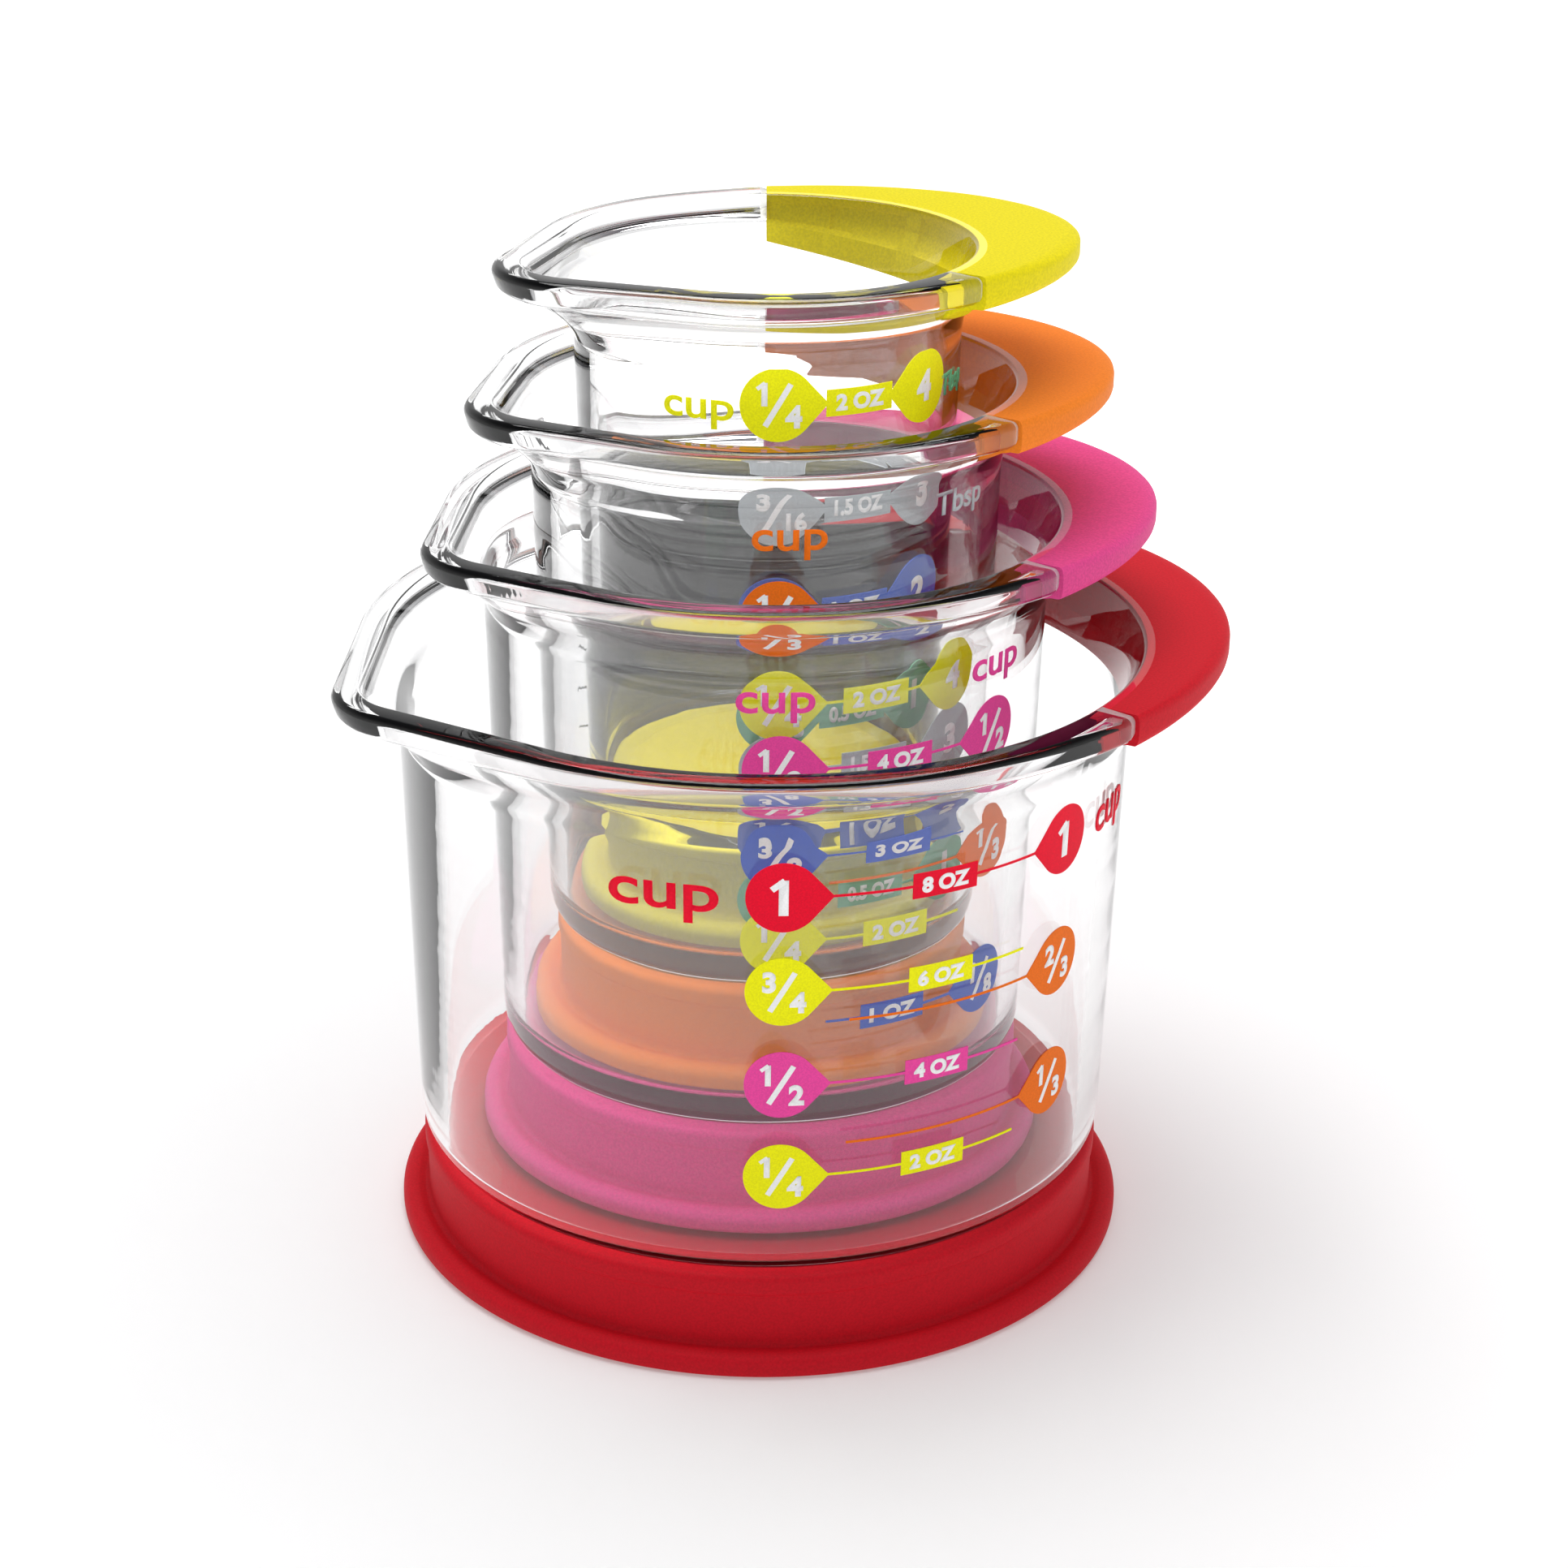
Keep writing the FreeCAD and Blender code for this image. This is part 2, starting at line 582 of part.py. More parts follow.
def make_prints(cup):
    """One node for each ink of a cup. Where two drops meet, the ink printed first keeps the overlap."""
    film = ink_film(cup)
    made = []
    for colour in dict.fromkeys(ink for _, _, ink in SCALES[cup]):
        pieces = []
        for kind, measure, ink in SCALES[cup]:
            if ink == colour:
                pieces += marks_of(cup, kind, measure)
        shape = pieces[0].fuse(pieces[1:]) if len(pieces) > 1 else pieces[0]
        shape = shape.common(film)
        for earlier in made:
            shape = shape.cut(earlier.Shape)
        feature = doc.addObject("Part::Feature", LABELS[cup] + "_print_" + colour)
        feature.Shape = Part.Compound(shape.Solids)
        made.append(feature)
    return made


# ---------------------------------------------------------------- the set
kept = []
for cup in CUPS:
    outside = make_outside(cup)
    beaker = boolean("Cut", LABELS[cup] + "_beaker", outside, make_hollow(cup))
    kept += [beaker, make_grip(cup, outside), make_foot(cup, outside)] + make_prints(cup)
doc.recompute()

for thing in doc.Objects:
    bad = [state for state in thing.State if state in ("Invalid", "Error")]
    if bad:
        raise RuntimeError("%s is %s" % (thing.Name, bad))
for thing in kept:
    thing.Label = thing.Name
    shape = thing.Shape
    if shape.isNull() or not shape.isValid() or shape.Volume <= 0:
        raise RuntimeError("%s has a bad shape" % thing.Name)
    box = shape.optimalBoundingBox()
    print("%-28s solids %2d  volume %9.1f  x %6.1f..%5.1f  z %6.2f..%6.2f" % (
        thing.Name, len(shape.Solids), shape.Volume, box.XMin, box.XMax, box.ZMin, box.ZMax))
    shape.exportStep("parts/" + thing.Name + ".step")
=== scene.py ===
# %% [markdown]
# # A set of four nesting measuring cups
# Four clear beakers stand inside each other. Each has a pouring spout, a soft coloured grip moulded on
# opposite the spout, a soft foot under the base, and scales printed on the outside of the wall.
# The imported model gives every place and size. The clear, soft and printed surfaces are made again here
# as smooth meshes, because light bent by a faceted wall shows every facet.

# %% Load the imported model
import math
from fractions import Fraction
from types import SimpleNamespace

import bmesh
import bpy
from mathutils import Euler, Matrix, Vector


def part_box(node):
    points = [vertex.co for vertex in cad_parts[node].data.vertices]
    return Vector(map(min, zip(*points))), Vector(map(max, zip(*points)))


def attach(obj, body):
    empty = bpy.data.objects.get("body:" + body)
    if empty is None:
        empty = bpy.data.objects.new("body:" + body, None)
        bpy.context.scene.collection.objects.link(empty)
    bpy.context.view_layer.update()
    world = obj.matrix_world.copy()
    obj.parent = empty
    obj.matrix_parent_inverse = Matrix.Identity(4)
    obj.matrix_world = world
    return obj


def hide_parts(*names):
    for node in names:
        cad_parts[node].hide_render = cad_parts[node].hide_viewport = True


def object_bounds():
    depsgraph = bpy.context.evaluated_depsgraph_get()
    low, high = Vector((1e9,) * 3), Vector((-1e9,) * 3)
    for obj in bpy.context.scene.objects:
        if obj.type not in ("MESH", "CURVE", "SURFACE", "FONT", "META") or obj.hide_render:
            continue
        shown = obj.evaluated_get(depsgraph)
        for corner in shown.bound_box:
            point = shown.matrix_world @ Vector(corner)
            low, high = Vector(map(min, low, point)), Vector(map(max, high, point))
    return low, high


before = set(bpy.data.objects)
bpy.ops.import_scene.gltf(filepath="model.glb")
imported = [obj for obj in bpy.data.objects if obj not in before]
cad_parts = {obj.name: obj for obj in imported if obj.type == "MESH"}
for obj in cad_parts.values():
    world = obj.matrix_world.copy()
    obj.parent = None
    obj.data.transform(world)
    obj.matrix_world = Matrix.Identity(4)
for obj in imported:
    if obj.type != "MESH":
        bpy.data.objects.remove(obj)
cad_low, cad_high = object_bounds()
print("box of the packed model", tuple(cad_low), tuple(cad_high))

# %% [markdown]
# ## Sizes
# Everything a cup needs comes from the boxes of its own nodes: the rim's height, how far the spout and
# the grip reach, and the foot. What a box cannot say, such as the thickness of a wall or the depth of the
# neck, is a named length in millimetres, given where it is first needed, because that is how a mould
# maker would write it.

# %% Measure the four cups
MM = 0.001
CUPS = ("one", "half", "third", "quarter")
WALL = {"one": 2.0, "half": 1.8, "third": 1.6, "quarter": 1.5}
COLOUR = {"one": "red", "half": "pink", "third": "orange", "quarter": "yellow"}
FOOT_TALL = 11.6
FLOOR_THICK = 3.7        # of the smallest cup, whose floor carries no other cup
RIM_OUT = 4.6            # how far the rim stands outside the wall
DRAFT = 1.3              # the wall's radius grows this much from base to neck


def measure(cup):
    """Lengths of one cup in millimetres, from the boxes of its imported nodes."""
    foot_low, foot_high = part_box(cup + "_cup_foot")
    beaker_low, beaker_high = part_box(cup + "_cup_beaker")
    grip_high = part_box(cup + "_cup_grip")[1]
    top = beaker_high.y / MM - RIM_OUT
    return SimpleNamespace(
        name=cup + "_cup", colour=COLOUR[cup], wall=WALL[cup], foot=foot_high.x / MM,
        base=foot_low.z / MM, under=foot_low.z / MM + FOOT_TALL, rim=beaker_high.z / MM,
        spout=-beaker_low.x / MM, grip=grip_high.x / MM, top=top, low=top - DRAFT)


cups = {cup: measure(cup) for cup in CUPS}
for cup, larger in zip(CUPS[1:], CUPS):
    cups[larger].floor = cups[cup].base
cups["quarter"].floor = cups["quarter"].under + FLOOR_THICK
for cup in CUPS:
    print(cup, {key: value if isinstance(value, str) else round(value, 2)
                for key, value in vars(cups[cup]).items()})


# %% [markdown]
# ## Camera
# The camera looks down on the set from about 0.4 m away, so that the scales face it and every rim shows.
# Its place, its angles and its lens are plain numbers. It could aim at a point instead, but a small turn
# is easier to set as an angle.

# %% Place the camera
CAMERA_AT = Vector((-0.1681, -0.3084, 0.2046))
LOOK_DOWN = math.radians(23.14)
HEADING = math.radians(-29.0)
TILT = math.radians(0.73)
LENS = 73.4

camera_data = bpy.data.cameras.new("Camera")
camera_data.lens = LENS
camera_data.clip_start = 0.01
camera = bpy.data.objects.new("Camera", camera_data)
bpy.context.scene.collection.objects.link(camera)
turn = Euler((math.pi / 2 - LOOK_DOWN, 0, HEADING)).to_matrix() @ Matrix.Rotation(TILT, 3, "Z")
camera.matrix_world = Matrix.Translation(CAMERA_AT) @ turn.to_4x4()
bpy.context.scene.camera = camera
print("camera at", tuple(round(value, 3) for value in CAMERA_AT), "with a lens of", LENS, "mm")

# %% [markdown]
# ## Floor and light
# A clear object shows mostly what is around it, so the studio matters as much as the plastic. The floor
# is pale and its material glows a little. The glow is painted light: it is weaker under the set than
# further out, which paints a shade round the set and deepens its shadow. Lamps alone could whiten it too,
# but they would also bleach the grips.
# The surroundings are white near the horizon and much darker above, which is what puts the dark lines
# along the rims: there the plastic bends or mirrors the view upwards.

# %% Lay the floor
FLOOR_SIZE = 6.0
FLOOR_GREY = 0.72
GLOW_NEAR, GLOW_FAR = 0.24, 0.90        # strength of the glow under the set and away from it
DIM_WITHIN, BRIGHT_PAST = 0.05, 0.30    # metres from the middle


def add_object(name, bm):
    """A new object at the origin that holds this mesh."""
    mesh = bpy.data.meshes.new(name)
    bm.to_mesh(mesh)
    bm.free()
    thing = bpy.data.objects.new(name, mesh)
    bpy.context.scene.collection.objects.link(thing)
    return thing


def new_material(name):
    """A new node material, with its node tree and its Principled shader."""
    material = bpy.data.materials.new(name)
    material.use_nodes = True
    tree = material.node_tree
    shader = tree.nodes["Principled BSDF"]
    return material, tree, shader


floor_mesh = bmesh.new()
bmesh.ops.create_grid(floor_mesh, x_segments=1, y_segments=1, size=FLOOR_SIZE / 2)
floor = add_object("floor", floor_mesh)
material, tree, shader = new_material("pale_floor")
shader.inputs["Base Color"].default_value = (FLOOR_GREY, FLOOR_GREY, FLOOR_GREY, 1)
shader.inputs["Roughness"].default_value = 0.9
shader.inputs["Specular IOR Level"].default_value = 0.1
shader.inputs["Emission Color"].default_value = (1, 1, 1, 1)
# The emission is painted light, dimmed near the middle as a painted shade round the set.
where = tree.nodes.new("ShaderNodeTexCoord")
away = tree.nodes.new("ShaderNodeVectorMath")
away.operation = "LENGTH"
glow = tree.nodes.new("ShaderNodeMapRange")
glow.inputs["From Min"].default_value = DIM_WITHIN
glow.inputs["From Max"].default_value = BRIGHT_PAST
glow.inputs["To Min"].default_value = GLOW_NEAR
glow.inputs["To Max"].default_value = GLOW_FAR
tree.links.new(where.outputs["Object"], away.inputs[0])
tree.links.new(away.outputs["Value"], glow.inputs["Value"])
tree.links.new(glow.outputs["Result"], shader.inputs["Emission Strength"])
floor.data.materials.append(material)
print("floor", FLOOR_SIZE, "m wide, glowing from", GLOW_NEAR, "to", GLOW_FAR)

# %% Surround the set with soft light
HORIZON = (0.82, 0.82, 0.82, 1)
OVERHEAD = (0.12, 0.12, 0.13, 1)
HORIZON_TO, OVERHEAD_FROM = 0.12, 0.72  # on the dome of the sky, 0 at the horizon and 1 overhead
WORLD_STRENGTH = 1.05
SOFTBOX_AT, SOFTBOX_SIZE, SOFTBOX_WATTS = (0.1, 0.15, 0.9), (0.7, 0.7), 6.6

world = bpy.data.worlds.new("Studio")
bpy.context.scene.world = world
world.use_nodes = True
sky = world.node_tree
background = sky.nodes["Background"]
background.inputs["Strength"].default_value = WORLD_STRENGTH
direction = sky.nodes.new("ShaderNodeTexCoord")
split = sky.nodes.new("ShaderNodeSeparateXYZ")
ramp = sky.nodes.new("ShaderNodeValToRGB")
ramp.color_ramp.elements[0].position = HORIZON_TO
ramp.color_ramp.elements[0].color = HORIZON
ramp.color_ramp.elements[1].position = OVERHEAD_FROM
ramp.color_ramp.elements[1].color = OVERHEAD
sky.links.new(direction.outputs["Generated"], split.inputs["Vector"])
sky.links.new(split.outputs["Z"], ramp.inputs["Fac"])
sky.links.new(ramp.outputs["Color"], background.inputs["Color"])


def add_softbox(name, place, aim, size, watts):
    """A soft area light at place, turned to aim."""
    data = bpy.data.lights.new(name, "AREA")
    data.shape = "RECTANGLE"
    data.size, data.size_y = size
    data.energy = watts
    lamp = bpy.data.objects.new(name, data)
    bpy.context.scene.collection.objects.link(lamp)
    lamp.location = place
    lamp.rotation_euler = (Vector(aim) - Vector(place)).to_track_quat("-Z", "Y").to_euler()
    print(name, watts, "W")


add_softbox("overhead_light", SOFTBOX_AT, (cad_low + cad_high) / 2, SOFTBOX_SIZE, SOFTBOX_WATTS)

# %% [markdown]
# ## How far light is followed
# A line of sight through four nested cups crosses up to sixteen clear surfaces. Light is followed through
# ten of them, so what lies deeper in the nest goes dark, and each cup stands out from the one inside it.
# The Standard view leaves the grips and inks as bright as they are made.

# %% Set how deep light goes, and the view
DEEPEST = 10
bpy.context.scene.cycles.transmission_bounces = DEEPEST
bpy.context.scene.view_settings.view_transform = "Standard"
print("light passes", DEEPEST, "clear surfaces")

# %% [markdown]
# ## The shapes
# Every cup is turned: one half section, spun round Z. `section` draws such a half section as a chain of
# corners and rounds each corner by bevelling its vertex, as one would in the editor. Rounding before the
# spin is cheap, because it works on a few vertices instead of on whole rings of them.

# %% Draw, round and spin a half section
STEPS = 288
CORNER_STEPS = 6
SHARP = math.radians(32)  # an edge this sharp stays hard
SAME_POINT = 1e-7        # metres; corners nearer than this are one corner
CRUMB = 1e-6             # metres; edges shorter than this are dropped


def section(corners):
    """A chain in the XZ plane through (radius, height, rounding) corners, in millimetres."""
    bm = bmesh.new()
    chain = [bm.verts.new((radius * MM, 0, height * MM)) for radius, height, _ in corners]
    for a, b in zip(chain, chain[1:]):
        bm.edges.new((a, b))
    for vert, (_, _, rounding) in zip(chain, corners):
        if rounding:
            bmesh.ops.bevel(bm, geom=[vert], offset=rounding * MM, offset_type="OFFSET",
                            segments=CORNER_STEPS, profile=0.5, affect="VERTICES", material=-1)
    return bm


def spin_round(bm):
    """Spin the whole chain round Z and close it into one skin."""
    bmesh.ops.spin(bm, geom=bm.verts[:] + bm.edges[:], cent=(0, 0, 0), axis=(0, 0, 1),
                   dvec=(0, 0, 0), angle=math.tau, steps=STEPS, use_merge=True)
    bmesh.ops.remove_doubles(bm, verts=bm.verts[:], dist=SAME_POINT)
    return bm


def tidy_skin(bm):
    """Merge what fell together, point the faces outwards and keep only real corners sharp."""
    bmesh.ops.remove_doubles(bm, verts=bm.verts[:], dist=2 * CRUMB)
    bmesh.ops.dissolve_degenerate(bm, edges=bm.edges[:], dist=CRUMB)
    bmesh.ops.recalc_face_normals(bm, faces=bm.faces[:])
    for face in bm.faces:
        face.smooth = True
    for edge in bm.edges:
        edge.smooth = edge.is_manifold and edge.calc_face_angle(0) < SHARP
    open_edges = sum(not edge.is_manifold for edge in bm.edges)
    print("   faces", len(bm.faces), "open edges", open_edges)
    return bm


# %% [markdown]
# ## The outline of a rim
# Seen from above a rim is a circle, drawn out on one side to a rounded beak with straight flanks, and on
# the other to the oval of the grip. In polar form that is three short formulas, so a turned rim can be
# pushed outwards, vertex by vertex, until it has this outline. A drawn curve could be lofted instead, but
# then the rim and the wall would be two skins to join.

# %% Polar outlines
SPOUT_TIP = 11.0         # rounding of the spout, seen from above


def beak_radius(angle, side, reach, tip):
    """Radius, at this angle from the spout's direction, of a circle drawn out to a round tip."""
    centre = reach - tip
    lean = math.acos((side - tip) / centre)
    nose_end = math.atan2(tip * math.sin(lean), centre + tip * math.cos(lean))
    if angle >= lean:
        return side
    if angle > nose_end:
        return side / math.cos(lean - angle)
    return centre * math.cos(angle) + math.sqrt(tip ** 2 - (centre * math.sin(angle)) ** 2)


def oval_radius(azimuth, reach, side):
    """Radius of the grip's half oval at this azimuth from +X."""
    return reach * side / math.hypot(side * math.cos(azimuth), reach * math.sin(azimuth))


def rim_radius(cup, azimuth):
    """Outer edge of the whole rim, spout and grip, in millimetres."""
    side = cup.top + RIM_OUT
    if abs(azimuth) < math.pi / 2:
        return oval_radius(azimuth, cup.grip, side)
    return beak_radius(math.pi - abs(azimuth), side, cup.spout, SPOUT_TIP)


def smooth(value):
    """0 to 1 with soft ends."""
    value = min(max(value, 0.0), 1.0)
    return value * value * (3 - 2 * value)


# %% [markdown]
# ## The clear beakers
# A beaker is one injection moulding, so it is one closed skin: base, wall, neck, rim, inner flare and
# floor. After the spin the vertices above the foot of the spout move outwards by the outline's formula,
# full at the rim and nothing at the bottom of the spout, inside and outside alike. Where the grip sits,
# the rim is cut back to a thin lip, and the two rows of vertices beside that step close up into its end
# face. A boolean cut would do that too, but any sliver it leaves shows in clear plastic. The end faces are
# rounded down a little and are matt, so they have a material slot of their own.

# %% Lengths of the beakers
GRIP_HALF = math.radians(62.0)          # the grip reaches this far to each side of +X
LIP_OUT = 2.5            # the clear lip in front of the grip
SPOUT_TALL = 12.0
SPOUT_FULL = 0.5         # the spout has its full size down to this far below the rim
SPOUT_SWEEP = 1.2        # above 1, the spout starts more gently
RIM_BAND = 3.3           # width of the rim's flat top
EDGE_OUT = 1.3           # inner edge of the rim, outside the wall's outer face
FLARE_TALL = 8.0
RIM_THICK = 3.0
NECK_TALL = 8.6
KNEE_OUT, KNEE_DOWN = 0.7, 5.6          # where the neck turns outwards, from the wall and from the rim
BROW_OUT = 2.6           # where the neck meets the underside of the rim
HEEL_ROUND, NECK_ROUND, KNEE_ROUND, BROW_ROUND = 3.3, 1.6, 1.2, 0.8
RIM_ROUND, MOUTH_ROUND, FLOOR_ROUND = 0.9, 0.35, 1.5
PUSH_FROM, PUSH_OVER = 1.0, 1.5         # past the inner edge, where the rim beside the grip is pushed out
HAIR = math.radians(0.02)               # the end face lies this close to the end of the grip
END_NARROW = 0.86        # the cut ends of the rim beside the grip are rounded down to this much of it
FROSTED = 1              # material slot of the cut ends
FROST_DROP = 0.2         # they reach this far below the rim
AXIS_ROOM = 1.0          # vertices nearer the axis than this are never moved
STEP = math.tau / STEPS  # between two rows of vertices

# %% Make the beakers


def seat_step(azimuth):
    """Bring the two rings of vertices nearest the end of the grip close to each side of it."""
    past = abs(azimuth) - GRIP_HALF
    if -STEP < past <= 0:
        return math.copysign(GRIP_HALF - HAIR, azimuth)
    if 0 < past <= STEP:
        return math.copysign(GRIP_HALF + HAIR, azimuth)
    return azimuth


def make_beaker(cup):
    edge, inside = cup.top + EDGE_OUT, cup.top - cup.wall
    rim, low_inside = cup.rim, cup.low - cup.wall
    bm = section([
        (0, cup.under, 0), (cup.low, cup.under, HEEL_ROUND), (cup.top, rim - NECK_TALL, NECK_ROUND),
        (cup.top + KNEE_OUT, rim - KNEE_DOWN, KNEE_ROUND),
        (cup.top + BROW_OUT, rim - RIM_THICK, BROW_ROUND),
        (cup.top + RIM_OUT, rim - RIM_THICK, RIM_ROUND), (cup.top + RIM_OUT, rim, RIM_ROUND),
        (edge, rim, MOUTH_ROUND), (inside, rim - FLARE_TALL, NECK_ROUND),
        (low_inside, cup.floor, FLOOR_ROUND), (0, cup.floor, 0)])
    spin_round(bm)
    for vert in bm.verts:
        radius = math.hypot(vert.co.x, vert.co.y) / MM
        height = vert.co.z / MM
        if radius < AXIS_ROOM or height < rim - SPOUT_TALL:
            continue
        azimuth = seat_step(math.atan2(vert.co.y, vert.co.x))
        share = smooth((height - rim + SPOUT_TALL) / (SPOUT_TALL - SPOUT_FULL)) ** SPOUT_SWEEP
        away = math.pi - abs(azimuth)
        if away < math.pi / 2:
            inner_push = beak_radius(away, edge, cup.spout - RIM_BAND, SPOUT_TIP - RIM_BAND) - edge
            outer_push = rim_radius(cup, azimuth) - cup.top - RIM_OUT
            outward = smooth((radius - edge) / RIM_BAND)
            radius += share * (inner_push + (outer_push - inner_push) * outward)
        elif abs(azimuth) < GRIP_HALF:
            radius = min(radius, cup.top + LIP_OUT)
        elif abs(azimuth) < GRIP_HALF + 2 * HAIR and radius > cup.top + LIP_OUT:
            push = rim_radius(cup, azimuth) - cup.top - RIM_OUT
            radius += push * smooth((radius - edge - PUSH_FROM) / PUSH_OVER)
            radius = cup.top + LIP_OUT + (radius - cup.top - LIP_OUT) * END_NARROW
            height = rim - RIM_THICK / 2 + (height - rim + RIM_THICK / 2) * END_NARROW
            vert.co.z = height * MM
        elif radius > edge + PUSH_FROM:
            push = rim_radius(cup, azimuth) - (cup.top + RIM_OUT)
            radius += push * smooth((radius - edge - PUSH_FROM) / PUSH_OVER)
        vert.co.x = radius * MM * math.cos(azimuth)
        vert.co.y = radius * MM * math.sin(azimuth)
    tidy_skin(bm)
    for face in bm.faces:
        centre = face.calc_center_median()
        past = abs(math.atan2(centre.y, centre.x)) - GRIP_HALF
        out = math.hypot(centre.x, centre.y) / MM - cup.top
        if HAIR < past < STEP and out > LIP_OUT and centre.z / MM > rim - RIM_THICK - FROST_DROP:
            face.material_index = FROSTED
    beaker = add_object(cup.name + "_clear_beaker", bm)
    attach(beaker, cup.name)
    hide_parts(cup.name + "_beaker")
    return beaker


beakers = [make_beaker(cups[cup]) for cup in CUPS]

# %% [markdown]
# ## The soft grips
# The grip is a plate with a rounded edge that runs down the neck as an apron, deepest in the middle. It
# is spun through its own angle only, and the outer part of its section is then stretched to the oval. A
# block could be cut to shape with booleans, but the stretch keeps the plate's edge evenly round. Its inner
# face is seen through the clear neck: a frame with upright ribs stands round shallow windows. Frame and
# ribs reach a little into the clear plastic, as a moulded bond does. With air between the two, the plastic
# would mirror there and hide the colour.

# %% Lengths of the grips
GRIP_THICK = 3.7
SUNK = 0.02              # the plate's top is this far below the clear rim
SHELF_OUT, SHELF_DROP = 5.0, 0.2        # where the plate's underside ends and the cove starts
COVE_DOWN = 1.6          # the cove ends this far below the plate
APRON_SHORT, APRON_TALL = 5.4, 8.0      # at its two ends and in the middle
APRON_OUT = 0.9          # its foot stands this far outside the wall
SIDE_OUT = 4.0           # the plate is spun this far past the rim, before it is stretched
STRETCH_FROM = 0.5       # the stretch starts this far inside the shelf
FOLLOW_FROM = 0.5        # the inner face follows the apron's depth from this far above the neck
PLATE_ROUND, SHELF_ROUND, COVE_ROUND, APRON_ROUND = 1.2, 0.6, 0.5, 0.3
BITE = 0.1               # the grip reaches this far into the clear plastic
FRAME = 0.5              # and its frame and ribs this much further
LIP_SEEN = 0.3           # only this much of the clear lip stays uncovered on top
RIBS = ((12.0, 18.0), (42.4, 44.2))     # degrees from the middle, alike on both sides
END_FRAME = 1.0          # degrees of frame at the two ends
WINDOW_TOP, WINDOW_FOOT = 1.1, 5.0      # below the rim, in the middle
LEDGE = 0.35             # height of the slope between the frame and a window
GRIP_STEPS = 112
SPAN = GRIP_HALF + 3 * HAIR

# %% Make the grips


def neck_out(cup, depth):
    """Radius of the neck's outer face behind the grip, this far below the rim."""
    if depth < RIM_THICK:
        return cup.top + LIP_OUT
    if depth < KNEE_DOWN:
        return cup.top + LIP_OUT - (LIP_OUT - KNEE_OUT) * (depth - RIM_THICK) / (KNEE_DOWN - RIM_THICK)
    return cup.top + KNEE_OUT * (NECK_TALL - depth) / (NECK_TALL - KNEE_DOWN)


def in_window(azimuth, depth):
    """True in the shallow windows between the ribs."""
    away = abs(math.degrees(azimuth))
    on_rib = any(low < away < high for low, high in RIBS)
    on_end = away >= math.degrees(GRIP_HALF) - END_FRAME
    return not on_rib and not on_end and WINDOW_TOP + LEDGE / 2 < depth < WINDOW_FOOT - LEDGE / 2


def make_grip(cup):
    rim = cup.rim
    shelf = cup.top + SHELF_OUT
    side = cup.top + RIM_OUT + SIDE_OUT
    start_at = shelf - STRETCH_FROM
    plate = rim - GRIP_THICK
    inner = [APRON_TALL, WINDOW_FOOT + LEDGE / 2, WINDOW_FOOT - LEDGE, RIM_THICK,
             WINDOW_TOP + LEDGE, WINDOW_TOP - LEDGE / 2, SUNK]
    corners = [(neck_out(cup, depth) - BITE - FRAME, rim - depth, 0) for depth in inner]
    bm = section(corners[-1:] + [
        (side, rim - SUNK, PLATE_ROUND), (side, plate, PLATE_ROUND),
        (shelf, plate - SHELF_DROP, SHELF_ROUND), (cup.top + BROW_OUT, plate - COVE_DOWN, COVE_ROUND),
        (cup.top + APRON_OUT, rim - APRON_TALL, APRON_ROUND)] + corners)
    bmesh.ops.remove_doubles(bm, verts=bm.verts[:], dist=SAME_POINT)
    bmesh.ops.transform(bm, matrix=Matrix.Rotation(-SPAN, 4, "Z"), verts=bm.verts[:])
    first = bm.edges[:]
    bmesh.ops.spin(bm, geom=bm.verts[:] + bm.edges[:], cent=(0, 0, 0), axis=(0, 0, 1),
                   dvec=(0, 0, 0), angle=2 * SPAN, steps=GRIP_STEPS)
    last = [edge for edge in bm.edges if edge.is_boundary and edge not in first]
    bmesh.ops.holes_fill(bm, edges=first, sides=0)
    bmesh.ops.holes_fill(bm, edges=last, sides=0)
    for vert in bm.verts:
        radius = math.hypot(vert.co.x, vert.co.y) / MM
        azimuth = math.atan2(vert.co.y, vert.co.x)
        depth = rim - vert.co.z / MM
        apron = APRON_TALL - (APRON_TALL - APRON_SHORT) * (azimuth / SPAN) ** 2
        if radius < neck_out(cup, depth) - BITE:
            window = in_window(azimuth, depth)
            if depth > RIM_THICK - FOLLOW_FROM:
                depth *= apron / APRON_TALL
            radius = neck_out(cup, depth) - BITE - (0 if window else FRAME)
            if depth < WINDOW_TOP / 2:
                radius = cup.top + EDGE_OUT + LIP_SEEN
        elif depth > GRIP_THICK:
            depth = GRIP_THICK + (depth - GRIP_THICK) * (apron - GRIP_THICK) / (APRON_TALL - GRIP_THICK)
        if radius > start_at:
            reach = rim_radius(cup, azimuth)
            radius = start_at + (radius - start_at) * (reach - start_at) / (side - start_at)
        vert.co = Vector((radius * math.cos(azimuth), radius * math.sin(azimuth), rim - depth)) * MM
    grip = add_object(cup.name + "_soft_grip", tidy_skin(bm))
    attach(grip, cup.name)
    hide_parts(cup.name + "_grip")
    return grip


grips = [make_grip(cups[cup]) for cup in CUPS]

# %% [markdown]
# ## The soft feet
# A foot is turned as well. From the table up it has a flange with a rounded edge, a low ridge and a groove
# on top of the flange, a nearly straight waist, and a slightly wider band under the beaker. A bevelled
# cylinder would be quicker, but one section carries all of these at once. The beaker's base stands on a
# seat a little above the band, and the seat reaches a hair into the plastic, so that the foot's colour
# shows through the floor.

